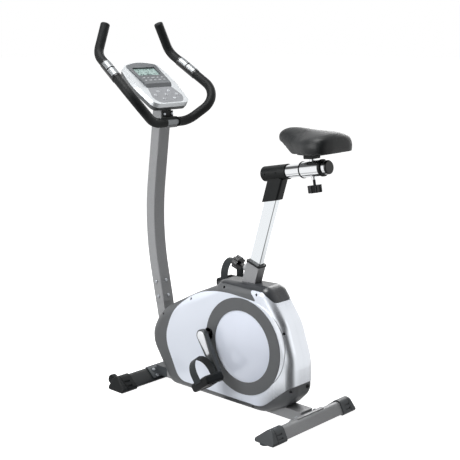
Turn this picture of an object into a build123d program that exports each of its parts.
from build123d import *
import math
import os

# An upright exercise bike, in millimetres. +X points forward, +Y to the rider's left and +Z up.
# The origin is on the floor, under the middle of the whole bike.

# Gaps
RUN = 0.05              # radial gap of a shaft that turns in a bore
SLIDE = 0.3             # gap between faces that move past each other
FIT = 0.2               # gap between pieces that are fixed together

# Stabilisers: three-sided tubes across the bike, steep side outwards, with caps over their ends
REAR_X = -402.0
FRONT_X = 363.0
REAR_LENGTH = 482.0
FRONT_LENGTH = 506.0
FOOT_HALF = 46.0        # from the tube's middle to its lower edges
FOOT_RIDGE = 20.0       # from the tube's middle outwards to its ridge
FOOT_APEX = 53.0        # height of the ridge before rounding
FOOT_CORNER_R = 5.0
FOOT_RIDGE_R = 16.0
FOOT_WALL = 2.0
CAP_WALL = 5.0          # also lifts the tube off the floor
CAP_LENGTH = 78.0
CAP_END = 24.0          # from the end of the tube to the end of the cap
CAP_LEAN = 18.0         # degrees that a cap's end leans inwards
CAP_EDGE = 3.0
CAP_SLOT = 26.0         # length of the slots moulded into a cap
CAP_SLOT_WIDTH = 6.0
CAP_SLOT_DEPTH = 3.0
CAP_SLOT_HEIGHTS = (21.0, 35.0)
CAP_BAND = 30.0         # from the end of a cap to the groove round it
CAP_GROOVE = 2.5
LEVEL_R = 18.0          # levelling discs under the rear caps
LEVEL_IN = 12.0         # from the end of the cap to the disc's middle
LEVEL_THICK = 3.0
LEVEL_STEM_R = 5.0

# Transport wheels, in forks that stand out of the front caps
WHEEL_R = 21.0
WHEEL_WIDTH = 22.0
WHEEL_LIFT = 3.0        # gap between a wheel and the floor
WHEEL_PIN_R = 4.0
WHEEL_REACH = 67.0      # from the stabiliser's middle to the wheel's pin
FORK_EAR = 5.0
FORK_GAP = 1.0          # side gap between a wheel and its fork

# Welded frame
RAIL_WIDTH = 64.0
RAIL_HEIGHT = 40.0
RAIL_BOTTOM = 18.0
RAIL_WALL = 2.5
SADDLE_PLATE = 4.0      # thickness of the curved brackets over the stabilisers
SADDLE_WIDTH = 150.0
SADDLE_CUT = 20.0       # height of the brackets' lower edges
TUBE_WALL = 2.5         # wall of the seat tube and mast stub

# Handlebar post: straight, one long bend, straight
MAST_X = 404.0          # where its two straight runs would cross
MAST_Z = 636.0
MAST_LOW_LEAN = 11.5    # degrees forward below the bend
MAST_TOP_LEAN = 7.5     # degrees backward above it
MAST_BEND_R = 1070.0
MAST_WIDTH = 58.0
MAST_DEPTH = 49.0
MAST_WALL = 2.0
MAST_CORNER_R = 6.0
MAST_SEAM_Z = 328.0     # lower end of the post
STUB_TOP_Z = 450.0
MAST_BOLT_HEIGHTS = (352.0, 411.0)

# Crank and flywheel
CRANK_X = 30.0
CRANK_Z = 270.0
CRANK_LENGTH = 170.0
CRANK_ANGLE = -120.8    # degrees from +X, of the left arm
CRANK_INNER_Y = 90.0
CRANK_THICK = 18.0
CRANK_HUB_R = 25.0
CRANK_TIP_R = 16.0
AXLE_R = 8.45
AXLE_IN_ARM = 14.0
BRACKET_R = 22.0        # bottom bracket shell
BRACKET_HALF = 34.0
BEARING_R = 17.5
BEARING_WIDTH = 10.0
FLY_X = -142.0
FLY_Z = 257.0
FLY_R = 118.0
FLY_WIDTH = 22.0
FLY_Y = 30.0            # inner face of the flywheel
FLY_RIM = 26.0
FLY_WEB = 10.0
FLY_AXLE_R = 7.45
FLY_AXLE_HALF = 54.0
HOUSING_R = 21.0
HOUSING_HALF = 24.0
FLY_BEARING_R = 16.0
GUSSET = 24.0           # thickness of the gusset behind the bottom bracket
WEB_PLATE = 10.0        # thickness of the plate that carries the flywheel
BELT_Y = -46.0          # middle of the belt
BELT_WIDTH = 12.0
BELT_THICK = 3.0
PULLEY_R = 103.0
SMALL_PULLEY_R = 14.0

# Magnetic brake
BRAKE_GAP = 3.0         # from the flywheel's rim to the magnets
BRAKE_MAGNET = 5.0
BRAKE_ARM = 6.0
BRAKE_START = 96.0      # degrees, at the pivot
BRAKE_SWEEP = 62.0
BRAKE_PIN_R = 4.0
BRAKE_EYE_R = 10.0
MOTOR_SIZE = (62.0, 42.0, 44.0)
MOTOR_X = 190.0

# Seat tube and seat post
SEAT_LEAN = 17.0        # degrees backward
SEAT_TOP_X = -154.0     # top of the seat tube, on its axis
SEAT_TOP_Z = 563.0
SEAT_TUBE_DEPTH = 60.0
SEAT_TUBE_WIDTH = 40.0
POST_DEPTH = 52.0
POST_WIDTH = 25.0
POST_WALL = 2.0
POST_CORNER_R = 5.0
POST_BELOW = 250.0      # length of the post inside the seat tube
POST_SHOWN = 257.5      # from the top of the seat tube to the post head
POST_IN_HEAD = 50.0
POST_HOLE_R = 5.0
POST_HOLE_PITCH = 25.0
POST_HOLES = 9
BUSH_LENGTH = 70.0
BUSH_FLANGE = 8.0
BUSH_LIP = 3.0          # how far the flange stands out of the seat tube
HEAD_WALL = 7.0
HEAD_CUT = 29.0         # degrees, slope of the head's lower end, front edge down
HEAD_CORNER_R = 8.0

# Saddle slider
SLIDER_LEAN = 10.4      # degrees, rising to the rear
SLIDER_X = -193.3       # front end of the post head, on the slider's axis
SLIDER_Z = 902.8
SLIDER_R = 24.0
SLIDER_WALL = 2.0
SLIDER_LENGTH = 289.0
HEAD_R = 27.5
HEAD_LENGTH = 113.0
HEAD_NOSE = 4.0         # wall that closes the head's front
HEAD_DIMPLES = (24.0, 76.0)     # screw dimples, from the head's front
HEAD_DIMPLE_R = 3.5
HEAD_DIMPLE = 2.0       # depth
PLUG_LENGTH = 8.0
PLUG_SPIGOT = 25.0
SLEEVE_START = 183.0
SLEEVE_LENGTH = 79.0
SLEEVE_R = 28.3
COLLAR_LENGTH = 11.0
COLLAR_R = 30.0
COLLAR_RIM = 3.0        # ring at the sleeve's other end
STEM_R = 11.0
STEM_AT = 226.0         # along the slider, from its front
SCREW_AT = 222.0

# Knobs
KNOB_R = 21.0
KNOB_LOBE_R = 7.0
KNOB_LOBES = 7
KNOB_HEIGHT = 27.0
KNOB_EDGE = 3.0
PIN_R = 8.0
PIN_BORE_GAP = 0.1
PIN_BOSS_R = 13.0
PIN_BOSS = 16.0
PIN_AT = 35.0           # below the top of the seat tube
PIN_STEM = 42.0         # from the seat tube's face to the knob
SCREW_R = 5.0
SCREW_BOSS_R = 9.0
SCREW_BOSS = 9.0
SCREW_STEM = 32.0       # from the slider's surface to the slide knob

# Saddle: stations are (forward, half width, bottom, top) from the middle of its clamp
SADDLE_RISE = 51.0      # from the slider's axis to the underside of the saddle base
SADDLE_TILT = 5.0       # degrees, rear end up
BASE_THICK = 4.0
BASE_CLAMP = 16.0
SADDLE_STATIONS = (
    (135.0, 14.0, 58.0, 70.0),
    (125.0, 24.0, 49.0, 83.0),
    (108.0, 33.0, 42.0, 92.0),
    (83.0, 41.0, 25.0, 96.0),
    (58.0, 50.0, 8.0, 95.0),
    (36.0, 59.0, 1.0, 92.0),
    (8.0, 73.0, 1.0, 86.0),
    (-22.0, 88.0, 1.0, 81.0),
    (-56.0, 99.0, 1.0, 79.0),
    (-86.0, 98.0, 1.0, 78.0),
    (-108.0, 89.0, 1.0, 74.0),
    (-122.0, 72.0, 4.0, 66.0),
    (-130.0, 48.0, 11.0, 55.0),
)
SADDLE_FOOT = 0.93      # underside, as a share of the half width
SADDLE_BELLY = 0.44     # height of the widest line, as a share of the thickness
SADDLE_SHOULDER = 0.78  # where the side turns into the crown, as a share of thickness
SADDLE_CROWN = 0.85     # half width there, as a share of the half width

# Handlebar: half of the bar, from the middle of the bike outwards
BAR_X = 290.7
BAR_Z = 1056.5
BAR_R = 12.7
BAR_WALL = 2.0
BAR_POINTS = (
    (0.0, 91.5, 0.0),
    (-50.3, 226.5, 93.4),
    (206.3, 189.0, 258.0),
    (215.9, 140.2, 370.0),
)
BAR_BENDS = (110.0, 85.0, 60.0)
FOAM_R = 18.4
FOAM_START = 32.0
FOAM_END = 6.0          # closed end of a grip, past the tube
SENSOR_AT = 197.0       # from the lower outer bend, along the straight run
SENSOR_LENGTH = 98.0
SENSOR_WALL = 1.6
PLATE_LENGTH = 38.0
PLATE_THICK = 1.2
PLATE_GAP = 6.0
PLATE_EDGE = 0.3        # height of a plate's edges over the bar's axis, as a share of its radius
CLAMP_HALF = 28.0
CLAMP_R = 21.0
CLAMP_PLATE = 8.0
CLAMP_TOP = 42.0        # top of the clamp above the bar's axis
CLAMP_FACE = 19.0       # rear face of the clamp plate, forward of the bar's axis
CLAMP_BOLT_Z = 31.0
CLAMP_BOLT_Y = 20.0

# Console: u to the rider's right, v up the slope, w out of the face
CONSOLE_X = 372.7
CONSOLE_Z = 1200.7
CONSOLE_SLOPE = 36.0
CONSOLE_SEAM = -18.0
CONSOLE_BACK = -36.0
CONSOLE_WALL = 2.5
CONSOLE_TOP_WALL = 5.0
CONSOLE_TAPER = 7.0
CONSOLE_HALF = 110.0    # at its widest
CONSOLE_LOW = -120.0
CONSOLE_SIDE = 118.0
CONSOLE_HIGH = 146.0
FASCIA_DEPTH = 2.5
FASCIA_PROUD = 0.5
BEZEL_LOW = -21.0       # foot of the display's step
BEZEL_CREST = -8.0      # top of the step
BEZEL_RISE = 10.0       # height of the step
LCD_HALF = 59.0
LCD_LOW = 46.0
LCD_HIGH = 98.0
LCD_EDGE = 3.0
LCD_THICK = 4.4
BOARD_THICK = 1.6
BOARD_HALF = 66.0
BOARD_LOW = -100.0
BOARD_HIGH = 104.0
KEY_R = 6.5
KEY_GAP = 0.4
KEY_PROUD = 2.0
KEY_DEPTH = 5.0
KEY_SPACING = 27.5
KEY_ROWS = ((-46.0, (-1, 1)), (-67.0, (-2, 0, 2)), (-91.0, (-1, 1)))

# Covers: side view outline with a radius at each corner
COVER_HALF = 62.0
COVER_WALL = 3.0
COVER_EDGE = 36.0
COVER_SPLIT = 0.4
COVER_OUTLINE = (
    (258.0, 10.0, 52.0),
    (380.0, 190.0, 105.0),
    (314.0, 310.0, 190.0),
    (124.0, 410.0, 420.0),
    (8.0, 462.0, 12.0),
    (-13.0, 486.0, 45.0),
    (-250.0, 496.0, 40.0),
    (-340.0, 375.0, 200.0),
    (-385.0, 245.0, 200.0),
    (-389.0, 118.0, 60.0),
    (-335.0, 62.0, 100.0),
    (-235.0, 14.0, 150.0),
)
PANEL_OUTLINE = (
    (196.0, 43.0, 60.0),
    (277.0, 202.0, 120.0),
    (231.0, 322.0, 215.0),
    (124.0, 414.0, 320.0),
    (-34.0, 452.0, 420.0),
    (-212.0, 441.0, 5.0),
    (-176.0, 480.0, 5.0),
    (-238.0, 480.0, 20.0),
    (-284.0, 446.0, 20.0),
    (-470.0, 456.0, 10.0),
    (-470.0, 205.0, 10.0),
    (-362.0, 142.0, 60.0),
    (-240.0, 43.0, 90.0),
)
HOOD_OUTLINE = (
    (30.0, 530.0, 5.0),
    (30.0, 481.0, 5.0),
    (-238.0, 481.0, 20.0),
    (-284.0, 447.0, 20.0),
    (-470.0, 457.0, 5.0),
    (-470.0, 530.0, 5.0),
)
SKIN = 2.0
HOLE_GAP = 1.0          # gap round the tubes that pass through the covers
CRANK_HOLE_R = 24.0
RING_R = 185.0
RING_BORE_R = 137.0
RING_THICK = 2.0
DOME_R = 136.0
DOME_RISE = 16.0
DOME_WALL = 2.5
SCREW_PLACES = (
    (288.0, 296.0),
    (131.0, 388.0),
    (-46.0, 466.0),
    (-211.0, 468.0),
    (-337.0, 346.0),
    (-372.0, 136.0),
    (250.0, 30.0),
    (-192.0, 30.0),
)
SCREW_SEAT_Y = 42.0
SCREW_HOLE_R = 5.0
SCREW_BOSS_WALL = 3.0
SCREW_HEAD_R = 4.2
SCREW_HEAD = 3.0
SCREW_SHANK_R = 2.0
SCREW_SHANK = 7.0
INLET_Y = -20.0
INLET_Z = 141.0
INLET_R = 5.5
INLET_LENGTH = 14.0
INLET_FLANGE_R = 8.0
INLET_FLANGE = 2.0

# Pedals, built about the spindle
PEDAL_Y = 161.0
PEDAL_LENGTH = 98.0
PEDAL_WIDTH = 90.0
PEDAL_THICK = 34.0
PEDAL_BAR = 18.0        # cage bars
PEDAL_HUB_R = 13.0
PEDAL_CORNER_R = 8.0
PEDAL_ROLL_R = 10.0     # rounding of the front and rear bars
PEDAL_GROOVE = 1.5      # width and depth of the tread grooves
PEDAL_GROOVES = (33.5, 37.0)        # places from the spindle
PEDAL_TILT = {1: 36.0, -1: 0.0}   # degrees, toe down, of the left and right pedals
SPINDLE_R = 6.0
SPINDLE_IN_ARM = 12.0
SPINDLE_TIP = 6.0       # spindle stops this far inside the pedal's outer face
STRAP_WIDTH = 36.0
STRAP_THICK = 2.6
STRAP_LEG = 30.0
STRAP_ARCH = 59.0

# Bolts: head radius, head height, shank radius, length
FRAME_BOLT = (6.5, 4.0, 3.9, 14.0)
CLAMP_BOLT = (5.5, 5.0, 3.0, 26.0)


# Helpers
def along_y(face, y0, y1):
    """A side view face, drawn in X and Z, carried from y0 to y1."""
    return Pos(0, y0, 0) * extrude(Plane.XZ * face, amount=-(y1 - y0))


def rod_y(x, z, radius, y0, y1):
    return along_y(Pos(x, z) * Circle(radius), y0, y1)


def slab(x0, x1, y0, y1, z0, z1):
    middle = Pos((x0 + x1) / 2, (y0 + y1) / 2, (z0 + z1) / 2)
    return middle * Box(x1 - x0, y1 - y0, z1 - z0)


def outline(corners):
    """A closed face through corners of (x, y, radius)."""
    points = [(x, y) for x, y, radius in corners]
    return make_face(FilletPolyline(*points, radius=[corner[2] for corner in corners], close=True))


def both_sides(part):
    return Compound(children=[part, mirror(part, Plane.XZ)])


def group(parts):
    return Compound(children=list(parts))


def bolt(size):
    """A bolt along Z with its head's seat at zero and its shank below."""
    head_r, head, shank_r, length = size
    top = Pos(0, 0, head / 2) * Cylinder(head_r, head)
    top = fillet(top.edges().group_by(Axis.Z)[-1], head * 0.4)
    return top + Pos(0, 0, -length / 2) * Cylinder(shank_r, length)


def knob():
    """A lobed hand knob that stands on the XY plane."""
    disc = Circle(KNOB_R)
    for place in PolarLocations(KNOB_R - KNOB_LOBE_R / 3, KNOB_LOBES):
        disc += place * Circle(KNOB_LOBE_R)
    body = extrude(disc, amount=KNOB_HEIGHT)
    return fillet(body.edges().group_by(Axis.Z)[-1], KNOB_EDGE)


def mast_x(z):
    """Where the lower run of the post's axis is at height z."""
    return MAST_X - (MAST_Z - z) * math.tan(math.radians(MAST_LOW_LEAN))


def mast_plane(z):
    lean = math.radians(MAST_LOW_LEAN)
    return Plane((mast_x(z), 0, z), x_dir=(0, 1, 0), z_dir=(math.sin(lean), 0, math.cos(lean)))


def seat_plane(height):
    """Across the seat tube: local x forward, y left, z up the tube."""
    lean = math.radians(SEAT_LEAN)
    up = Vector(-math.sin(lean), 0, math.cos(lean))
    origin = Vector(SEAT_TOP_X, 0, SEAT_TOP_Z) + up * height
    return Plane(origin, x_dir=(math.cos(lean), 0, math.sin(lean)), z_dir=up)


def seat_prism(depth, width, corner, low, high):
    face = RectangleRounded(depth, width, corner) if corner else Rectangle(depth, width)
    return extrude(seat_plane(low) * face, amount=high - low)


def slider_plane(along):
    """Across the slider: local x up, y left, z rearwards along it."""
    lean = math.radians(SLIDER_LEAN)
    back = Vector(-math.cos(lean), 0, math.sin(lean))
    origin = Vector(SLIDER_X, 0, SLIDER_Z) + back * along
    return Plane(origin, x_dir=(math.sin(lean), 0, math.cos(lean)), z_dir=back)


def slider_rod(radius, start, end):
    return extrude(slider_plane(start) * Circle(radius), amount=end - start)


def slider_cross(along, radius, low, high):
    """A rod square to the slider, in its upright plane, from low to high."""
    across = slider_plane(along)
    up = across.x_dir
    face = Plane(across.origin + up * low, x_dir=across.z_dir, z_dir=up) * Circle(radius)
    return extrude(face, amount=high - low)


def console_plane(w=0.0):
    slope = math.radians(CONSOLE_SLOPE)
    normal = Vector(-math.sin(slope), 0, math.cos(slope))
    return Plane(Vector(CONSOLE_X, 0, CONSOLE_Z) + normal * w, x_dir=(0, -1, 0), z_dir=normal)


def crank_end(side):
    """Pedal axis of the left (1) or right (-1) crank arm."""
    turn = math.radians(CRANK_ANGLE if side > 0 else CRANK_ANGLE + 180)
    return CRANK_X + CRANK_LENGTH * math.cos(turn), CRANK_Z + CRANK_LENGTH * math.sin(turn)


# Stabilisers: (place, length, outward direction)
STABILISERS = ((REAR_X, REAR_LENGTH, -1), (FRONT_X, FRONT_LENGTH, 1))
RAIL_TOP = RAIL_BOTTOM + RAIL_HEIGHT
WING_Y = (SADDLE_WIDTH + RAIL_WIDTH) / 4
BRACKET_BOLTS = (0.35, 0.68)    # shares of the inner slope, from the ridge down


def foot_bar(x, out, grow, y0, y1):
    """The stabiliser's three-sided section, grown all round and carried along Y."""
    face = outline((
        (x + out * FOOT_HALF, CAP_WALL, FOOT_CORNER_R),
        (x + out * FOOT_RIDGE, CAP_WALL + FOOT_APEX, FOOT_RIDGE_R),
        (x - out * FOOT_HALF, CAP_WALL, FOOT_CORNER_R),
    ))
    if grow:
        face = offset(face, amount=grow)
    return along_y(face, y0, y1)


def bracket_bolt_planes(x, out, gap):
    """Seats of the bolts on a stabiliser bracket, square to its inner slope."""
    run = FOOT_RIDGE + FOOT_HALF
    normal = Vector(-out * FOOT_APEX, 0, run).normalized()
    planes = []
    for side in (-1, 1):
        for share in BRACKET_BOLTS:
            along = x + out * (FOOT_RIDGE - share * run)
            point = Vector(along, side * WING_Y, CAP_WALL + (1 - share) * FOOT_APEX)
            planes.append(Plane(point + normal * gap, x_dir=(0, 1, 0), z_dir=normal))
    return planes


def stabiliser(x, length, out):
    half = length / 2 - CAP_END
    tube = foot_bar(x, out, 0, -half, half) - foot_bar(x, out, -FOOT_WALL, -half, half)
    for place in bracket_bolt_planes(x, out, FIT + SADDLE_PLATE):
        tube -= place * Cylinder(FRAME_BOLT[2] + FIT, 2 * FRAME_BOLT[3])
    return tube


def cap_socket(x, length, out):
    return foot_bar(x, out, FIT, length / 2 - CAP_LENGTH, length / 2 - CAP_END)


def end_cap(x, length, out):
    """Left cap of a stabiliser: its end leans inwards and its sides carry two slots each."""
    outer = length / 2
    inner = outer - CAP_LENGTH
    shoe = foot_bar(x, out, CAP_WALL, inner, outer)
    lean = math.radians(CAP_LEAN)
    end = Plane((x, outer, 0), x_dir=(1, 0, 0), z_dir=(0, math.cos(lean), math.sin(lean)))
    shoe -= extrude(end * Rectangle(8 * FOOT_HALF, 8 * FOOT_HALF), amount=4 * FOOT_HALF)
    rim = shoe.faces().sort_by(Axis.Y)[-1].edges()
    shoe = fillet(rim, CAP_EDGE)
    skin = shoe - foot_bar(x, out, CAP_WALL - CAP_SLOT_DEPTH, inner, outer)
    middle = inner + CAP_LENGTH * 0.4
    for z in CAP_SLOT_HEIGHTS:
        shoe -= Pos(x, middle, z) * Box(4 * FOOT_HALF, CAP_SLOT, CAP_SLOT_WIDTH) & skin
    shoe -= Pos(x, outer - CAP_BAND, 0) * Box(4 * FOOT_HALF, CAP_GROOVE, 8 * FOOT_HALF) & skin
    return shoe - cap_socket(x, length, out)


def rear_cap():
    """Left rear cap: its underside is cut away over a levelling disc."""
    cap = end_cap(REAR_X, REAR_LENGTH, -1)
    y = REAR_LENGTH / 2 - LEVEL_IN
    above = LEVEL_THICK + 2 * FIT
    inner = y - LEVEL_R - 2 * FIT
    cap -= slab(REAR_X - 2 * FOOT_HALF, REAR_X + 2 * FOOT_HALF, inner, REAR_LENGTH, 0, above)
    cap += Pos(REAR_X, y, LEVEL_THICK / 2) * Cylinder(LEVEL_R, LEVEL_THICK)
    return cap + Pos(REAR_X, y, LEVEL_THICK) * Cylinder(LEVEL_STEM_R, 2 * LEVEL_THICK - 4 * FIT)


def wheel_place():
    return FRONT_X + WHEEL_REACH, FRONT_LENGTH / 2 - CAP_LENGTH * 0.6, WHEEL_R + WHEEL_LIFT


def front_cap():
    """Left front cap with the fork and pin of its transport wheel."""
    cap = end_cap(FRONT_X, FRONT_LENGTH, 1)
    x, y, z = wheel_place()
    ear_inner = WHEEL_WIDTH / 2 + FORK_GAP
    ear_r = WHEEL_R * 0.55
    root = FRONT_X + FOOT_RIDGE
    for side in (-1, 1):
        ear = Pos(x, z) * Circle(ear_r) + Pos((x + root) / 2, z) * Rectangle(x - root, 2 * ear_r)
        edges = sorted((y + side * ear_inner, y + side * (ear_inner + FORK_EAR)))
        cap += along_y(ear, edges[0], edges[1])
    cap -= cap_socket(FRONT_X, FRONT_LENGTH, 1)
    cap -= rod_y(x, z, WHEEL_R + FORK_GAP, y - ear_inner, y + ear_inner)
    return cap + rod_y(x, z, WHEEL_PIN_R, y - ear_inner, y + ear_inner)


def transport_wheel(side):
    x, y, z = wheel_place()
    wheel = rod_y(x, z, WHEEL_R, y - WHEEL_WIDTH / 2, y + WHEEL_WIDTH / 2)
    wheel = fillet(wheel.edges(), WHEEL_WIDTH * 0.2)
    wheel -= rod_y(x, z, WHEEL_PIN_R + RUN, y - WHEEL_WIDTH, y + WHEEL_WIDTH)
    return wheel if side > 0 else mirror(wheel, Plane.XZ)


# Frame
def seat_bottom():
    """Lower end of the seat tube, sunk into the rail."""
    return -(SEAT_TOP_Z - RAIL_TOP + RAIL_HEIGHT / 4) / math.cos(math.radians(SEAT_LEAN))


def seat_axis_x(z):
    return SEAT_TOP_X + (SEAT_TOP_Z - z) * math.tan(math.radians(SEAT_LEAN))


def stub_size():
    inset = 2 * (MAST_WALL + FIT)
    return MAST_WIDTH - inset, MAST_DEPTH - inset


def stub_prism(width, depth, low, high):
    length = (high - low) / math.cos(math.radians(MAST_LOW_LEAN))
    return extrude(mast_plane(low) * Rectangle(width, depth), amount=length)


def brake_pivot():
    turn = math.radians(BRAKE_START)
    radius = FLY_R + BRAKE_GAP + BRAKE_MAGNET + BRAKE_ARM / 2
    return FLY_X + radius * math.cos(turn), FLY_Z + radius * math.sin(turn)


def pin_bore(radius, start, end):
    """A rod square to the seat tube's front face, on the seat pin's axis."""
    across = seat_plane(-PIN_AT)
    face = Plane(across.origin + across.x_dir * start, x_dir=(0, 1, 0), z_dir=across.x_dir) * Circle(radius)
    return extrude(face, amount=end - start)


def main_frame():
    wide, deep = stub_size()
    rail_z = RAIL_BOTTOM + RAIL_HEIGHT / 2
    frame = slab(REAR_X, FRONT_X, -RAIL_WIDTH / 2, RAIL_WIDTH / 2, RAIL_BOTTOM, RAIL_TOP)
    frame += stub_prism(wide, deep, rail_z, STUB_TOP_Z)
    frame += seat_prism(SEAT_TUBE_DEPTH, SEAT_TUBE_WIDTH, 0, seat_bottom(), 0)
    frame += rod_y(CRANK_X, CRANK_Z, BRACKET_R, -BRACKET_HALF, BRACKET_HALF)
    frame += rod_y(FLY_X, FLY_Z, HOUSING_R, -HOUSING_HALF, HOUSING_HALF)
    gusset = Polyline((CRANK_X, CRANK_Z + BRACKET_R / 2), (CRANK_X, CRANK_Z - BRACKET_R / 2),
                      (seat_axis_x(CRANK_Z - 60), CRANK_Z - 60), (seat_axis_x(CRANK_Z + 60), CRANK_Z + 60),
                      close=True)
    frame += along_y(make_face(gusset), -GUSSET / 2, GUSSET / 2)
    pivot_x, pivot_z = brake_pivot()
    web = Polyline((FLY_X, FLY_Z - HOUSING_R / 2), (seat_axis_x(FLY_Z - 60), FLY_Z - 60),
                   (seat_axis_x(pivot_z + BRAKE_EYE_R), pivot_z + BRAKE_EYE_R),
                   (pivot_x - BRAKE_EYE_R, pivot_z + BRAKE_EYE_R),
                   (pivot_x - BRAKE_EYE_R, pivot_z - BRAKE_EYE_R), close=True)
    frame += along_y(make_face(web), -WEB_PLATE / 2, WEB_PLATE / 2)
    frame += rod_y(pivot_x, pivot_z, BRAKE_PIN_R, 0, FLY_Y + FLY_WIDTH)
    frame += pin_bore(PIN_BOSS_R, SEAT_TUBE_DEPTH / 2 - TUBE_WALL, SEAT_TUBE_DEPTH / 2 + PIN_BOSS)
    plate = FIT + SADDLE_PLATE
    wing = SADDLE_WIDTH / 2
    for x, length, out in STABILISERS:
        saddle = foot_bar(x, out, plate, -wing, wing)
        ends = sorted((x - out * 2 * FOOT_HALF, x + out * FOOT_RIDGE))
        frame += saddle & slab(ends[0], ends[1], -wing, wing, SADDLE_CUT, 3 * FOOT_APEX)
    for x, length, out in STABILISERS:
        frame -= foot_bar(x, out, FIT, -SADDLE_WIDTH, SADDLE_WIDTH)
        for place in bracket_bolt_planes(x, out, plate):
            frame -= place * Cylinder(FRAME_BOLT[2] + FIT, FRAME_BOLT[3])
    bore = RAIL_WIDTH / 2 - RAIL_WALL
    low, high = RAIL_BOTTOM + RAIL_WALL, RAIL_TOP - RAIL_WALL
    frame -= slab(REAR_X + FOOT_HALF, FRONT_X - FOOT_HALF, -bore, bore, low, high)
    frame -= stub_prism(wide - 2 * TUBE_WALL, deep - 2 * TUBE_WALL, RAIL_TOP, STUB_TOP_Z + deep)
    cavity_depth = SEAT_TUBE_DEPTH - 2 * TUBE_WALL
    frame -= seat_prism(cavity_depth, SEAT_TUBE_WIDTH - 2 * TUBE_WALL, 0, seat_bottom(), SEAT_TUBE_DEPTH)
    frame -= rod_y(CRANK_X, CRANK_Z, BEARING_R, -BRACKET_HALF, BRACKET_HALF)
    frame -= rod_y(FLY_X, FLY_Z, FLY_BEARING_R, -HOUSING_HALF, HOUSING_HALF)
    frame -= pin_bore(PIN_R + PIN_BORE_GAP, 0, SEAT_TUBE_DEPTH)
    for place in mast_bolt_planes():
        frame -= place * Cylinder(FRAME_BOLT[2] + FIT, 2 * FRAME_BOLT[3])
    return frame


def bearings():
    """Four ball bearings, each as one ring, in the crank bracket and the flywheel housing."""
    rings = []
    for x, z, half, outer, inner in (
        (CRANK_X, CRANK_Z, BRACKET_HALF, BEARING_R - RUN, AXLE_R + RUN),
        (FLY_X, FLY_Z, HOUSING_HALF, FLY_BEARING_R - RUN, FLY_AXLE_R + RUN),
    ):
        for y in (-half, half - BEARING_WIDTH):
            ring = rod_y(x, z, outer, y, y + BEARING_WIDTH)
            rings.append(ring - rod_y(x, z, inner, y, y + BEARING_WIDTH))
    return group(rings)


# Handlebar post
def mast_bolt_planes():
    """Seats of the post's bolts: two on its left face, two on its rear face."""
    planes = []
    for z in MAST_BOLT_HEIGHTS:
        across = mast_plane(z)
        left = across.origin + across.x_dir * (MAST_WIDTH / 2)
        back = across.origin + across.y_dir * (MAST_DEPTH / 2)
        planes.append(Plane(left, x_dir=across.z_dir, z_dir=across.x_dir))
        planes.append(Plane(back, x_dir=across.z_dir, z_dir=across.y_dir))
    return planes


def mast_path():
    top_z = CONSOLE_Z
    top_x = MAST_X - (top_z - MAST_Z) * math.tan(math.radians(MAST_TOP_LEAN))
    low = (mast_x(MAST_SEAM_Z), 0, MAST_SEAM_Z)
    return FilletPolyline(low, (MAST_X, 0, MAST_Z), (top_x, 0, top_z), radius=MAST_BEND_R)


def post_rear_x(z):
    """Rear face of the post's upper run."""
    lean = math.radians(MAST_TOP_LEAN)
    return MAST_X - (z - MAST_Z) * math.tan(lean) - MAST_DEPTH / 2 / math.cos(lean)


def above_console_back():
    face = Rectangle(8 * CONSOLE_HALF, 8 * CONSOLE_HALF)
    return extrude(console_plane(CONSOLE_BACK) * face, amount=4 * CONSOLE_HALF)


def handlebar_post():
    path = mast_path()
    section = mast_plane(MAST_SEAM_Z)
    solid = sweep(section * RectangleRounded(MAST_WIDTH, MAST_DEPTH, MAST_CORNER_R), path)
    wide = MAST_WIDTH - 2 * MAST_WALL
    deep = MAST_DEPTH - 2 * MAST_WALL
    hollow = sweep(section * Rectangle(wide, deep), path)
    front_x = post_rear_x(BAR_Z) + MAST_WALL
    plate_x = BAR_X + CLAMP_FACE + CLAMP_PLATE
    low = BAR_Z - CLAMP_R
    neck = slab(plate_x, front_x + MAST_WALL, -CLAMP_HALF, CLAMP_HALF, low, BAR_Z + CLAMP_TOP)
    jaw = rod_y(BAR_X, BAR_Z, CLAMP_R, -CLAMP_HALF, CLAMP_HALF)
    jaw += slab(BAR_X, plate_x, -CLAMP_HALF, CLAMP_HALF, low, BAR_Z)
    reach = 2 * CLAMP_R
    jaw -= slab(BAR_X - reach, plate_x, -reach, reach, BAR_Z + BAR_R / 4, BAR_Z + reach)
    jaw -= slab(BAR_X - reach, BAR_X - BAR_R / 4, -reach, reach, low, BAR_Z + reach)
    post = solid + neck + jaw
    post -= hollow
    post -= rod_y(BAR_X, BAR_Z, BAR_R + SLIDE, -2 * CLAMP_HALF, 2 * CLAMP_HALF)
    for place in mast_bolt_planes():
        post -= place * Cylinder(FRAME_BOLT[2] + FIT, 2 * FRAME_BOLT[3])
    for y in (-CLAMP_BOLT_Y, CLAMP_BOLT_Y):
        post -= clamp_bolt_place(y) * Cylinder(CLAMP_BOLT[2] + FIT, 2 * CLAMP_BOLT[3] + SLIDE)
    return post - above_console_back()


def clamp_bolt_place(y):
    """Seat of a clamp bolt's head; the bolt points forward into the post."""
    return Plane((BAR_X + CLAMP_FACE, y, BAR_Z + CLAMP_BOLT_Z), x_dir=(0, 1, 0), z_dir=(-1, 0, 0))


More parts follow.
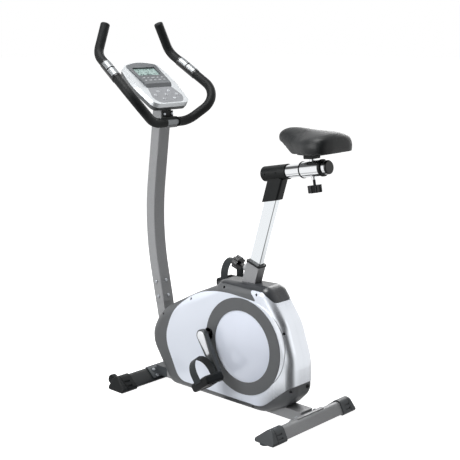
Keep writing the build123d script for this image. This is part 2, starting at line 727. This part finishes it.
def handlebar_clamp():
    """Jaw over the bar, with the upright plate that the two bolts hold."""
    plate_x = BAR_X + CLAMP_FACE + CLAMP_PLATE
    jaw = rod_y(BAR_X, BAR_Z, CLAMP_R, -CLAMP_HALF, CLAMP_HALF)
    jaw += slab(BAR_X, plate_x, -CLAMP_HALF, CLAMP_HALF, BAR_Z, BAR_Z + CLAMP_R)
    low = BAR_Z + BAR_R / 4 + FIT
    jaw -= slab(BAR_X - 2 * CLAMP_R, BAR_X + 2 * CLAMP_R, -2 * CLAMP_R, 2 * CLAMP_R, BAR_Z - 2 * CLAMP_R, low)
    jaw -= slab(BAR_X - 2 * CLAMP_R, BAR_X - BAR_R / 4, -2 * CLAMP_R, 2 * CLAMP_R, BAR_Z, BAR_Z + 2 * CLAMP_R)
    jaw -= slab(plate_x, plate_x + 2 * CLAMP_R, -2 * CLAMP_R, 2 * CLAMP_R, BAR_Z, BAR_Z + 2 * CLAMP_R)
    jaw += slab(BAR_X + CLAMP_FACE, plate_x, -CLAMP_HALF, CLAMP_HALF, BAR_Z + BAR_R, BAR_Z + CLAMP_TOP)
    jaw -= rod_y(BAR_X, BAR_Z, BAR_R + SLIDE, -2 * CLAMP_HALF, 2 * CLAMP_HALF)
    for y in (-CLAMP_BOLT_Y, CLAMP_BOLT_Y):
        jaw -= clamp_bolt_place(y) * Cylinder(CLAMP_BOLT[2] + FIT, 2 * CLAMP_BOLT[3])
    return jaw


def frame_bolts():
    """Bolts of both stabilisers, of the post and of the handlebar clamp."""
    bolts = []
    for x, length, out in STABILISERS:
        for place in bracket_bolt_planes(x, out, FIT + SADDLE_PLATE):
            bolts.append(place * bolt(FRAME_BOLT))
    for place in mast_bolt_planes():
        bolts.append(place * bolt(FRAME_BOLT))
    for y in (-CLAMP_BOLT_Y, CLAMP_BOLT_Y):
        bolts.append(clamp_bolt_place(y) * bolt(CLAMP_BOLT))
    return group(bolts)


# Handlebar
def bar_corners():
    return [Vector(BAR_X + x, y, BAR_Z + z) for x, y, z in BAR_POINTS]


def bar_path(start_y, past_end):
    """Left half of the bar's axis, from start_y to a little past its end."""
    points = bar_corners()
    points[-1] += (points[-1] - points[-2]).normalized() * past_end
    return FilletPolyline(Vector(BAR_X, start_y, BAR_Z), *points, radius=list(BAR_BENDS))


def swept(radius, path):
    return sweep(Plane(path @ 0, z_dir=path % 0) * Circle(radius), path)


def handlebar_tube():
    left = bar_path(0, 0)
    half = swept(BAR_R, left) - swept(BAR_R - BAR_WALL, left)
    return half + mirror(half, Plane.XZ)


def foam_grips():
    grip = swept(FOAM_R, bar_path(FOAM_START, FOAM_END))
    grip = fillet(grip.faces().sort_by(Axis.Z)[-1].edges(), FOAM_END)
    return both_sides(grip - swept(BAR_R + FIT / 2, bar_path(0, 0)))


def sensor_plane(along):
    """Across the straight run of the left grip: local y upwards, z along the bar."""
    low, high = bar_corners()[1:3]
    run = (high - low).normalized()
    return Plane(low + run * (SENSOR_AT + along), x_dir=Vector(0, 0, 1).cross(run), z_dir=run)


def pulse_housings():
    face = Circle(FOAM_R + FIT + SENSOR_WALL) - Circle(FOAM_R + FIT)
    sleeve = extrude(sensor_plane(-SENSOR_LENGTH / 2) * face, amount=SENSOR_LENGTH)
    return both_sides(sleeve)


def pulse_plates():
    inner = FOAM_R + 2 * FIT + SENSOR_WALL
    outer = inner + PLATE_THICK
    face = Circle(outer) - Circle(inner)
    face -= Pos(0, outer * (PLATE_EDGE - 1)) * Rectangle(3 * outer, 2 * outer)
    plates = []
    for start in (-PLATE_LENGTH - PLATE_GAP / 2, PLATE_GAP / 2):
        plate = extrude(sensor_plane(start) * face, amount=PLATE_LENGTH)
        plates += [plate, mirror(plate, Plane.XZ)]
    return group(plates)


# Console
def console_outline():
    corner = CONSOLE_HALF - 18
    return outline((
        (-corner, CONSOLE_LOW, 28.0),
        (corner, CONSOLE_LOW, 28.0),
        (CONSOLE_HALF, 15.0, 220.0),
        (corner, CONSOLE_SIDE, 28.0),
        (0.0, CONSOLE_HIGH, 220.0),
        (-corner, CONSOLE_SIDE, 28.0),
        (-CONSOLE_HALF, 15.0, 220.0),
    ))


def bezel_outline():
    side = CONSOLE_HALF - 31
    foot = side - 14
    return outline((
        (-foot, BEZEL_LOW, 3.0),
        (foot, BEZEL_LOW, 3.0),
        (side, CONSOLE_SIDE - 3, 14.0),
        (0.0, CONSOLE_HIGH - 9, 160.0),
        (-side, CONSOLE_SIDE - 3, 14.0),
    ))


def key_panel_outline():
    low = CONSOLE_LOW + 8
    side = CONSOLE_HALF - 30
    return outline((
        (-side + 18, BEZEL_LOW - 1, 4.0),
        (-side, BEZEL_LOW - 58, 24.0),
        (-side + 20, low, 30.0),
        (side - 20, low, 30.0),
        (side, BEZEL_LOW - 58, 24.0),
        (side - 18, BEZEL_LOW - 1, 4.0),
    ))


def console_side(points):
    """A solid from points of (v, w), carried right across the console."""
    across = Plane(console_plane().origin, x_dir=console_plane().y_dir, z_dir=(0, -1, 0))
    return extrude(across * make_face(Polyline(*points, close=True)), amount=CONSOLE_HALF, both=True)


def key_places():
    return [(step * KEY_SPACING, v) for v, steps in KEY_ROWS for step in steps]


def console_back():
    height = CONSOLE_SEAM - CONSOLE_BACK
    seam = console_plane(CONSOLE_SEAM)
    shell = extrude(seam * console_outline(), amount=-height, taper=14)
    inner = offset(console_outline(), amount=-CONSOLE_WALL)
    return shell - extrude(seam * inner, amount=-(height - CONSOLE_WALL), taper=14)


def console_front():
    height = -CONSOLE_SEAM
    seam = console_plane(CONSOLE_SEAM)
    shell = extrude(seam * console_outline(), amount=height, taper=CONSOLE_TAPER)
    inner = offset(console_outline(), amount=-CONSOLE_WALL)
    shell -= extrude(seam * inner, amount=height - CONSOLE_TOP_WALL, taper=CONSOLE_TAPER)
    top = console_plane()
    for face in (bezel_outline(), key_panel_outline()):
        shell -= extrude(top * offset(face, amount=FIT), amount=-FASCIA_DEPTH)
    shell -= extrude(top * lcd_face(LCD_EDGE + FIT), amount=-2 * CONSOLE_TOP_WALL)
    for u, v in key_places():
        shell -= extrude(top * Pos(u, v) * Circle(KEY_R + KEY_GAP), amount=-2 * CONSOLE_TOP_WALL)
    return shell


def lcd_face(edge):
    middle = (LCD_LOW + LCD_HIGH) / 2
    return Pos(0, middle) * Rectangle(2 * (LCD_HALF + edge), LCD_HIGH - LCD_LOW + 2 * edge)


def display_bezel():
    """Display surround: a wedge that rises towards the rider and ends in a step."""
    plate = extrude(console_plane(-FASCIA_DEPTH) * bezel_outline(), amount=2 * BEZEL_RISE)
    plate &= console_side((
        (BEZEL_LOW, -FASCIA_DEPTH),
        (BEZEL_LOW, FASCIA_PROUD),
        (BEZEL_CREST, BEZEL_RISE),
        (CONSOLE_HIGH, FASCIA_PROUD),
        (CONSOLE_HIGH, -FASCIA_DEPTH),
    ))
    return plate - extrude(console_plane(-FASCIA_DEPTH) * lcd_face(0), amount=2 * BEZEL_RISE)


def key_panel():
    plate = extrude(console_plane(-FASCIA_DEPTH) * key_panel_outline(), amount=FASCIA_DEPTH + FASCIA_PROUD)
    for u, v in key_places():
        plate -= console_plane() * Pos(u, v) * Cylinder(KEY_R + KEY_GAP, 8 * FASCIA_DEPTH)
    return plate


def lcd_panel():
    return extrude(console_plane(-FASCIA_DEPTH) * lcd_face(LCD_EDGE), amount=-LCD_THICK)


def circuit_board():
    middle = (BOARD_LOW + BOARD_HIGH) / 2
    face = Pos(0, middle) * Rectangle(2 * BOARD_HALF, BOARD_HIGH - BOARD_LOW)
    return extrude(console_plane(-FASCIA_DEPTH - LCD_THICK) * face, amount=-BOARD_THICK)


def key(place):
    u, v = place
    cap = extrude(console_plane(-KEY_DEPTH) * Pos(u, v) * Circle(KEY_R), amount=KEY_DEPTH + KEY_PROUD)
    crown = cap.faces().sort_by_distance(console_plane(4 * CONSOLE_TOP_WALL).origin + Vector(0, -u, 0))
    top = [f for f in crown if f.geom_type == GeomType.PLANE]
    top.sort(key=lambda f: console_plane().to_local_coords(f.center()).Z)
    return fillet(top[-1].edges(), KEY_PROUD * 0.6)


# Covers
def cover_solid(grow):
    """The whole cover, grown outwards all round, with both side edges rounded."""
    face = outline(COVER_OUTLINE)
    if grow:
        face = offset(face, amount=grow)
    half = COVER_HALF + grow
    block = along_y(face, -half, half)
    rims = block.edges().filter_by(lambda e: abs(abs(e.center().Y) - half) < 0.01)
    return fillet(rims, COVER_EDGE + grow)


def tube_holes():
    """What passes through the covers: rail, mast stub and seat tube."""
    gap = 2 * HOLE_GAP
    half = RAIL_WIDTH / 2 + HOLE_GAP
    rail = slab(REAR_X, FRONT_X, -half, half, 0, RAIL_TOP + HOLE_GAP)
    stub = stub_prism(MAST_WIDTH + gap, MAST_DEPTH + gap, RAIL_BOTTOM, STUB_TOP_Z)
    seat = seat_prism(SEAT_TUBE_DEPTH + gap, SEAT_TUBE_WIDTH + gap, 0, seat_bottom(), 0)
    return rail + stub + seat


def left_half(solid):
    return solid & slab(-2000, 2000, COVER_SPLIT / 2, 1000, -1000, 2000)


def screw_hole(x, z):
    return rod_y(x, z, SCREW_HOLE_R, SCREW_SEAT_Y, 2 * COVER_HALF)


def inlet_plane():
    """Seat of the power inlet on the slanted wall at the lower back."""
    (x0, z0, r0), (x1, z1, r1) = COVER_OUTLINE[8:10]
    share = (INLET_Z - z0) / (z1 - z0)
    normal = Vector(z1 - z0, 0, -(x1 - x0)).normalized()
    return Plane((x0 + share * (x1 - x0), INLET_Y, INLET_Z), x_dir=(0, 1, 0), z_dir=normal)


OUTER = cover_solid(0)
SKIN_BED = cover_solid(FIT)
SKIN_FACE = cover_solid(FIT + SKIN)
HOLES = tube_holes()


def left_cover():
    shell = left_half(OUTER - cover_solid(-COVER_WALL))
    boss_r = SCREW_HOLE_R + SCREW_BOSS_WALL
    for x, z in SCREW_PLACES:
        boss = rod_y(x, z, boss_r, SCREW_SEAT_Y - SCREW_SHANK, COVER_HALF) & OUTER
        shell += boss
    for x, z in SCREW_PLACES:
        shell -= screw_hole(x, z)
        shell -= rod_y(x, z, SCREW_SHANK_R + FIT, 0, SCREW_SEAT_Y)
    shell -= rod_y(CRANK_X, CRANK_Z, CRANK_HOLE_R, 0, 2 * COVER_HALF)
    return shell - HOLES


def right_cover():
    shell = mirror(left_cover(), Plane.XZ)
    return shell - inlet_plane() * Cylinder(INLET_R + FIT, 4 * INLET_LENGTH)


def side_panels():
    """Pale skins over both sides, drawn round the back to the middle."""
    skin = left_half(SKIN_FACE - SKIN_BED) & along_y(outline(PANEL_OUTLINE), 0, 2 * COVER_HALF)
    for x, z in SCREW_PLACES:
        skin -= screw_hole(x, z)
    skin -= rod_y(CRANK_X, CRANK_Z, CRANK_HOLE_R, 0, 2 * COVER_HALF)
    skin -= HOLES
    return both_sides(skin)


def top_hood():
    hood = (SKIN_FACE - SKIN_BED) & along_y(outline(HOOD_OUTLINE), -2 * COVER_HALF, 2 * COVER_HALF)
    hood -= HOLES
    return hood - both_sides(side_panels_region())


def side_panels_region():
    """The side panels' outline grown by a gap, so that the hood stays clear of them."""
    return along_y(offset(outline(PANEL_OUTLINE), amount=FIT), 0, 2 * COVER_HALF)


def disc_rings():
    y = COVER_HALF + FIT + SKIN
    ring = rod_y(FLY_X, FLY_Z, RING_R, y, y + RING_THICK)
    ring -= rod_y(FLY_X, FLY_Z, RING_BORE_R, y, y + RING_THICK)
    return both_sides(ring - rod_y(CRANK_X, CRANK_Z, CRANK_HOLE_R, 0, 2 * COVER_HALF))


def disc_cap(radius, rise):
    """A shallow spherical cap on the XY plane."""
    ball = (radius ** 2 + rise ** 2) / (2 * rise)
    return Pos(0, 0, rise - ball) * Sphere(ball) & Pos(0, 0, rise / 2) * Cylinder(2 * radius, rise)


def disc_domes():
    shell = disc_cap(DOME_R, DOME_RISE) - disc_cap(DOME_R - 4 * DOME_WALL, DOME_RISE - DOME_WALL)
    seat = Plane((FLY_X, COVER_HALF + FIT + SKIN, FLY_Z), x_dir=(1, 0, 0), z_dir=(0, 1, 0))
    return both_sides(seat * shell)


def cover_screws():
    screws = []
    for x, z in SCREW_PLACES:
        head = rod_y(x, z, SCREW_HEAD_R, SCREW_SEAT_Y, SCREW_SEAT_Y + SCREW_HEAD)
        screw = head + rod_y(x, z, SCREW_SHANK_R, SCREW_SEAT_Y - SCREW_SHANK, SCREW_SEAT_Y)
        screws += [screw, mirror(screw, Plane.XZ)]
    return group(screws)


def power_inlet():
    body = Pos(0, 0, -INLET_LENGTH / 2) * Cylinder(INLET_R, INLET_LENGTH)
    flange = Pos(0, 0, INLET_FLANGE / 2) * Cylinder(INLET_FLANGE_R, INLET_FLANGE)
    socket = Cylinder(INLET_R * 0.6, INLET_LENGTH)
    return inlet_plane() * (body + flange - socket + Cylinder(INLET_R * 0.2, INLET_LENGTH))


# Drive
def crank_axle():
    half = CRANK_INNER_Y + AXLE_IN_ARM
    return rod_y(CRANK_X, CRANK_Z, AXLE_R, -half, half)


def crank_arm(side):
    x, z = crank_end(side)
    hub = Pos(CRANK_X, CRANK_Z) * Circle(CRANK_HUB_R)
    tip = Pos(x, z) * Circle(CRANK_TIP_R)
    face = make_hull(hub.edges() + tip.edges())
    outer = CRANK_INNER_Y + CRANK_THICK
    arm = along_y(face, CRANK_INNER_Y, outer)
    arm = fillet(arm.edges().filter_by(lambda e: abs(e.center().Y - outer) < 0.01), CRANK_THICK * 0.25)
    arm -= rod_y(CRANK_X, CRANK_Z, AXLE_R + RUN, 0, CRANK_INNER_Y + AXLE_IN_ARM)
    arm -= rod_y(x, z, SPINDLE_R + RUN, outer - SPINDLE_IN_ARM, 2 * outer)
    return arm if side > 0 else mirror(arm, Plane.XZ)


def crank_arms():
    return group([crank_arm(1), crank_arm(-1)])


def drive_pulley():
    half = BELT_WIDTH / 2
    wheel = rod_y(CRANK_X, CRANK_Z, PULLEY_R, BELT_Y - half, BELT_Y + half)
    web = rod_y(CRANK_X, CRANK_Z, PULLEY_R - BELT_WIDTH, BELT_Y + half / 3, BELT_Y + half)
    web += rod_y(CRANK_X, CRANK_Z, PULLEY_R - BELT_WIDTH, BELT_Y - half, BELT_Y - half / 3)
    hub = rod_y(CRANK_X, CRANK_Z, BRACKET_R, BELT_Y - half, BELT_Y + half)
    wheel = wheel - (web - hub)
    return wheel - rod_y(CRANK_X, CRANK_Z, AXLE_R + RUN, BELT_Y - half, BELT_Y + half)


def drive_belt():
    half = BELT_WIDTH / 2
    faces = []
    for grow in (SLIDE, SLIDE + BELT_THICK):
        large = Pos(CRANK_X, CRANK_Z) * Circle(PULLEY_R + grow)
        small = Pos(FLY_X, FLY_Z) * Circle(SMALL_PULLEY_R + grow)
        faces.append(make_hull(large.edges() + small.edges()))
    return along_y(faces[1] - faces[0], BELT_Y - half, BELT_Y + half)


def flywheel():
    middle = FLY_Y + FLY_WIDTH / 2
    wheel = rod_y(FLY_X, FLY_Z, FLY_R, FLY_Y, FLY_Y + FLY_WIDTH)
    for y0, y1 in ((FLY_Y, middle - FLY_WEB / 2), (middle + FLY_WEB / 2, FLY_Y + FLY_WIDTH)):
        wheel -= rod_y(FLY_X, FLY_Z, FLY_R - FLY_RIM, y0, y1) - rod_y(FLY_X, FLY_Z, HOUSING_R, y0, y1)
    return wheel - rod_y(FLY_X, FLY_Z, FLY_AXLE_R + RUN, FLY_Y, FLY_Y + FLY_WIDTH)


def flywheel_axle():
    half = BELT_WIDTH / 2
    axle = rod_y(FLY_X, FLY_Z, FLY_AXLE_R, -FLY_AXLE_HALF, FLY_AXLE_HALF)
    return axle + rod_y(FLY_X, FLY_Z, SMALL_PULLEY_R, BELT_Y - half, BELT_Y + half)


def brake_arm():
    """Curved arm round the flywheel's rim, with its magnets and pivot eye."""
    inner = FLY_R + BRAKE_GAP
    middle = inner + BRAKE_MAGNET
    outer = middle + BRAKE_ARM
    reach = 2 * outer
    end = math.radians(BRAKE_START + BRAKE_SWEEP)
    start = math.radians(BRAKE_START)
    wedge = make_face(Polyline((0, 0), (reach * math.cos(start), reach * math.sin(start)),
                               (reach * math.cos(end), reach * math.sin(end)), close=True))
    band = (Circle(outer) - Circle(middle)) & wedge
    pads = []
    for share in (0.35, 0.6, 0.85):
        turn = BRAKE_START + BRAKE_SWEEP * share
        pads.append(Rot(0, 0, turn) * Pos((inner + middle) / 2 + 0.5, 0) * Rectangle(BRAKE_MAGNET + 1, 16))
    face = band
    for pad in pads:
        face += pad
    pivot_x, pivot_z = brake_pivot()
    face = Pos(FLY_X, FLY_Z) * face + Pos(pivot_x, pivot_z) * Circle(BRAKE_EYE_R)
    arm = along_y(face, FLY_Y, FLY_Y + FLY_WIDTH)
    return arm - rod_y(pivot_x, pivot_z, BRAKE_PIN_R + RUN, 0, 2 * FLY_Y + FLY_WIDTH)


def tension_motor():
    length, width, height = MOTOR_SIZE
    rear, front = MOTOR_X - length / 2, MOTOR_X + length / 2
    case = slab(rear, front, -width / 2, width / 2, RAIL_TOP, RAIL_TOP + height)
    case = fillet(case.edges().filter_by(Axis.Z), 6)
    drum = rod_y(MOTOR_X, RAIL_TOP + height / 2, height * 0.3, width / 2, width / 2 + 8)
    return case + drum


# Pedals
def pedal_spindles():
    spindles = []
    inner = CRANK_INNER_Y + CRANK_THICK - SPINDLE_IN_ARM
    outer = PEDAL_Y + PEDAL_WIDTH / 2 - SPINDLE_TIP
    for side in (1, -1):
        x, z = crank_end(side)
        spindle = rod_y(x, z, SPINDLE_R, inner, outer)
        spindles.append(spindle if side > 0 else mirror(spindle, Plane.XZ))
    return group(spindles)


def at_pedal(part, side):
    x, z = crank_end(side)
    placed = Pos(x, PEDAL_Y, z) * Rot(0, PEDAL_TILT[side], 0) * part
    return placed if side > 0 else mirror(placed, Plane.XZ)


def pedal(side):
    """Cage pedal: front and rear bars, end plates and a hub on the spindle."""
    body = Box(PEDAL_LENGTH, PEDAL_WIDTH, PEDAL_THICK)
    body = fillet(body.edges().filter_by(Axis.Z), PEDAL_CORNER_R)
    window_x = PEDAL_LENGTH / 2 - PEDAL_BAR - PEDAL_HUB_R
    window_y = PEDAL_WIDTH - 2 * PEDAL_BAR
    for end in (-1, 1):
        middle = end * (PEDAL_HUB_R + window_x / 2)
        body -= Pos(middle, 0, 0) * Box(window_x, window_y, 2 * PEDAL_THICK)
    ends = body.edges().filter_by(Axis.Y).filter_by(lambda e: abs(e.center().X) > PEDAL_LENGTH * 0.45)
    body = fillet(ends, PEDAL_ROLL_R)
    for x in PEDAL_GROOVES:
        for end in (-1, 1):
            for top in (-1, 1):
                body -= Pos(end * x, 0, top * PEDAL_THICK / 2) * Box(PEDAL_GROOVE, window_y, 2 * PEDAL_GROOVE)
    bore = PEDAL_WIDTH - SPINDLE_TIP + SLIDE
    body -= Pos(0, -SPINDLE_TIP / 2 + SLIDE / 2, 0) * Rot(90, 0, 0) * Cylinder(SPINDLE_R + RUN, bore)
    return at_pedal(body, side)


def strap_face(grow):
    half = PEDAL_WIDTH / 2 + grow
    legs = Pos(0, STRAP_LEG / 2) * Rectangle(2 * half, STRAP_LEG)
    arch = Ellipse(half, STRAP_ARCH + grow) & Pos(0, STRAP_ARCH) * Rectangle(2 * half, 2 * STRAP_ARCH)
    return legs + Pos(0, STRAP_LEG) * arch


def pedal_strap(side):
    """Toe strap: an arched band whose legs lie against the pedal's end plates."""
    face = strap_face(STRAP_THICK) - strap_face(0)
    band = extrude(Plane.YZ * face, amount=STRAP_WIDTH / 2, both=True)
    return at_pedal(Pos(0, 0, SPINDLE_R + SLIDE) * band, side)


# Seat
def seat_bushing():
    tube_depth = SEAT_TUBE_DEPTH - 2 * TUBE_WALL - 2 * FIT
    tube_width = SEAT_TUBE_WIDTH - 2 * TUBE_WALL - 2 * FIT
    bush = seat_prism(tube_depth, tube_width, 0, -BUSH_LENGTH, 0)
    lip = 2 * BUSH_LIP
    bush += seat_prism(SEAT_TUBE_DEPTH + lip, SEAT_TUBE_WIDTH + lip, 2 * BUSH_LIP, 0, BUSH_FLANGE)
    gap = 2 * SLIDE
    bush -= seat_prism(POST_DEPTH + gap, POST_WIDTH + gap, 0, -2 * BUSH_LENGTH, BUSH_LENGTH)
    return bush - pin_bore(PIN_R + PIN_BORE_GAP, 0, SEAT_TUBE_DEPTH)


def seat_post():
    top = POST_SHOWN + POST_IN_HEAD
    post = seat_prism(POST_DEPTH, POST_WIDTH, POST_CORNER_R, -POST_BELOW, top)
    post -= seat_prism(POST_DEPTH - 2 * POST_WALL, POST_WIDTH - 2 * POST_WALL, POST_CORNER_R - POST_WALL,
                       -POST_BELOW, top)
    for step in range(POST_HOLES):
        across = seat_plane(-PIN_AT + (step - 1) * POST_HOLE_PITCH)
        face = Plane(across.origin, x_dir=(0, 1, 0), z_dir=across.x_dir) * Circle(POST_HOLE_R)
        post -= extrude(face, amount=POST_DEPTH)
    return post


def seat_post_head():
    """Black T-piece: a sleeve over the post and a sleeve round the slider."""
    deep = POST_DEPTH + 2 * HEAD_WALL
    wide = POST_WIDTH + 2 * HEAD_WALL
    crossing = (slider_plane(0).origin.Z - SEAT_TOP_Z) / math.cos(math.radians(SEAT_LEAN))
    head = seat_prism(deep, wide, HEAD_CORNER_R, POST_SHOWN - deep, crossing)
    cutter = Pos(0, 0, -deep) * Box(4 * deep, 4 * deep, 2 * deep)
    head -= seat_plane(POST_SHOWN) * Rot(0, HEAD_CUT, 0) * cutter
    head += slider_rod(HEAD_R, 0, HEAD_LENGTH)
    nose = head.edges().filter_by(GeomType.CIRCLE).sort_by_distance(slider_plane(0).origin)[0]
    head = fillet(nose, HEAD_NOSE)
    gap = 2 * FIT
    head -= seat_prism(POST_DEPTH + gap, POST_WIDTH + gap, POST_CORNER_R, 0, POST_SHOWN + POST_IN_HEAD)
    for along in HEAD_DIMPLES:
        middle = slider_plane(along).origin
        head -= both_sides(rod_y(middle.X, middle.Z, HEAD_DIMPLE_R, HEAD_R - HEAD_DIMPLE, 2 * HEAD_R))
    return head - slider_rod(SLIDER_R + FIT, HEAD_NOSE, 2 * SLIDER_LENGTH)


def slider_tube():
    tube = slider_rod(SLIDER_R, HEAD_NOSE, SLIDER_LENGTH)
    return tube - slider_rod(SLIDER_R - SLIDER_WALL, HEAD_NOSE, SLIDER_LENGTH)


def slider_end_plug():
    plug = slider_rod(SLIDER_R + 2 * SLIDE, SLIDER_LENGTH, SLIDER_LENGTH + PLUG_LENGTH)
    plug = fillet(plug.edges().sort_by(Axis.X)[0], PLUG_LENGTH * 0.6)
    return plug + slider_rod(SLIDER_R - SLIDER_WALL - FIT, SLIDER_LENGTH - PLUG_SPIGOT, SLIDER_LENGTH)


def slide_sleeve():
    """Sleeve on the slider, with the saddle stem above and the screw boss below."""
    sleeve = slider_rod(SLEEVE_R, SLEEVE_START, SLEEVE_START + SLEEVE_LENGTH)
    sleeve += slider_cross(STEM_AT, STEM_R, 0, SADDLE_RISE - BASE_THICK)
    sleeve += slider_cross(SCREW_AT, SCREW_BOSS_R, -SLEEVE_R - SCREW_BOSS, 0)
    sleeve -= slider_rod(SLIDER_R + RUN, SLEEVE_START, SLEEVE_START + SLEEVE_LENGTH)
    return sleeve - slider_cross(SCREW_AT, SCREW_R + RUN, -2 * SLEEVE_R, 0)


def sleeve_collar():
    start = SLEEVE_START + SLEEVE_LENGTH
    collar = slider_rod(COLLAR_R, start, start + COLLAR_LENGTH)
    collar = fillet(collar.edges(), FIT * 10)
    collar += slider_rod(COLLAR_R, SLEEVE_START - COLLAR_RIM, SLEEVE_START)
    return collar - slider_rod(SLIDER_R + SLIDE, SLEEVE_START - COLLAR_RIM, start + COLLAR_LENGTH)


def saddle_plane():
    """Underside of the saddle base: local x forward, y left, z up."""
    across = slider_plane(STEM_AT)
    tilt = math.radians(SADDLE_TILT)
    origin = across.origin + across.x_dir * SADDLE_RISE
    forward = (math.cos(tilt), 0, -math.sin(tilt))
    return Plane(origin, x_dir=forward, z_dir=(math.sin(tilt), 0, math.cos(tilt)))


def saddle_section(station):
    """One cross-section: flat underside, swelling sides and a crowned top."""
    forward, half, bottom, top = station
    thick = top - bottom
    foot = half * SADDLE_FOOT
    belly_z = bottom + thick * SADDLE_BELLY
    shoulder = half * SADDLE_CROWN
    shoulder_z = bottom + thick * SADDLE_SHOULDER
    under = Line((-foot, bottom), (foot, bottom))
    left = ThreePointArc((foot, bottom), (half, belly_z), (shoulder, shoulder_z))
    crown = ThreePointArc((shoulder, shoulder_z), (0, top), (-shoulder, shoulder_z))
    right = ThreePointArc((-shoulder, shoulder_z), (-half, belly_z), (-foot, bottom))
    return Plane.YZ.offset(forward) * make_face([under, left, crown, right])


def saddle_pad():
    pad = loft([saddle_section(station) for station in SADDLE_STATIONS])
    pad -= slab(-200, 200, -200, 200, -100, BASE_THICK)
    return saddle_plane() * pad


def saddle_base():
    """Pressed base plate with the clamp that grips the stem."""
    rear, front = -86.0, 40.0
    plan = outline((
        (rear, -62.0, 30.0), (-56.0, -76.0, 30.0), (front, -34.0, 14.0),
        (front, 34.0, 14.0), (-56.0, 76.0, 30.0), (rear, 62.0, 30.0),
    ))
    plate = extrude(plan, amount=BASE_THICK)
    clamp = Pos(0, 0, -BASE_CLAMP / 2) * Box(3.6 * STEM_R, 4 * STEM_R, BASE_CLAMP)
    clamp = fillet(clamp.edges().group_by(Axis.Z)[0], 3)
    base = saddle_plane() * (plate + clamp)
    return base - slider_cross(STEM_AT, STEM_R + FIT, 0, SADDLE_RISE - BASE_THICK + FIT)


def seat_height_knob():
    """Pull pin of the seat height, short of the post by a sliding gap."""
    face = SEAT_TUBE_DEPTH / 2
    pin = pin_bore(PIN_R, POST_DEPTH / 2 + 2 * SLIDE, face + PIN_STEM)
    across = seat_plane(-PIN_AT)
    seat = Plane(across.origin + across.x_dir * (face + PIN_STEM), x_dir=(0, 1, 0), z_dir=across.x_dir)
    return pin + seat * knob()


def seat_slide_knob():
    reach = SLIDER_R + SCREW_STEM
    screw = slider_cross(SCREW_AT, SCREW_R, -reach, -SLIDER_R - SLIDE)
    across = slider_plane(SCREW_AT)
    seat = Plane(across.origin - across.x_dir * reach, x_dir=(0, 1, 0), z_dir=-across.x_dir)
    return screw + seat * knob()


NODES = {
    "main_frame": main_frame(),
    "front_stabiliser": stabiliser(FRONT_X, FRONT_LENGTH, 1),
    "rear_stabiliser": stabiliser(REAR_X, REAR_LENGTH, -1),
    "front_end_caps": both_sides(front_cap()),
    "rear_end_caps": both_sides(rear_cap()),
    "frame_bolts": frame_bolts(),
    "left_transport_wheel": transport_wheel(1),
    "right_transport_wheel": transport_wheel(-1),
    "handlebar_post": handlebar_post(),
    "handlebar_clamp": handlebar_clamp(),
    "handlebar_tube": handlebar_tube(),
    "foam_grips": foam_grips(),
    "pulse_housings": pulse_housings(),
    "pulse_plates": pulse_plates(),
    "console_back": console_back(),
    "console_front": console_front(),
    "display_bezel": display_bezel(),
    "key_panel": key_panel(),
    "lcd_panel": lcd_panel(),
    "circuit_board": circuit_board(),
    "left_cover": left_cover(),
    "right_cover": right_cover(),
    "side_panels": side_panels(),
    "top_hood": top_hood(),
    "disc_rings": disc_rings(),
    "disc_domes": disc_domes(),
    "cover_screws": cover_screws(),
    "power_inlet": power_inlet(),
    "bearings": bearings(),
    "crank_axle": crank_axle(),
    "crank_arms": crank_arms(),
    "drive_pulley": drive_pulley(),
    "drive_belt": drive_belt(),
    "flywheel": flywheel(),
    "flywheel_axle": flywheel_axle(),
    "brake_arm": brake_arm(),
    "tension_motor": tension_motor(),
    "pedal_spindles": pedal_spindles(),
    "left_pedal": pedal(1),
    "right_pedal": pedal(-1),
    "left_pedal_strap": pedal_strap(1),
    "right_pedal_strap": pedal_strap(-1),
    "seat_bushing": seat_bushing(),
    "seat_post": seat_post(),
    "seat_post_head": seat_post_head(),
    "slider_tube": slider_tube(),
    "slider_end_plug": slider_end_plug(),
    "slide_sleeve": slide_sleeve(),
    "sleeve_collar": sleeve_collar(),
    "saddle_base": saddle_base(),
    "saddle_pad": saddle_pad(),
    "seat_height_knob": seat_height_knob(),
    "seat_slide_knob": seat_slide_knob(),
}
for number, place in enumerate(key_places(), start=1):
    NODES[f"key_{number}"] = key(place)

os.makedirs("parts", exist_ok=True)
for name, part in NODES.items():
    export_step(part, f"parts/{name}.step")
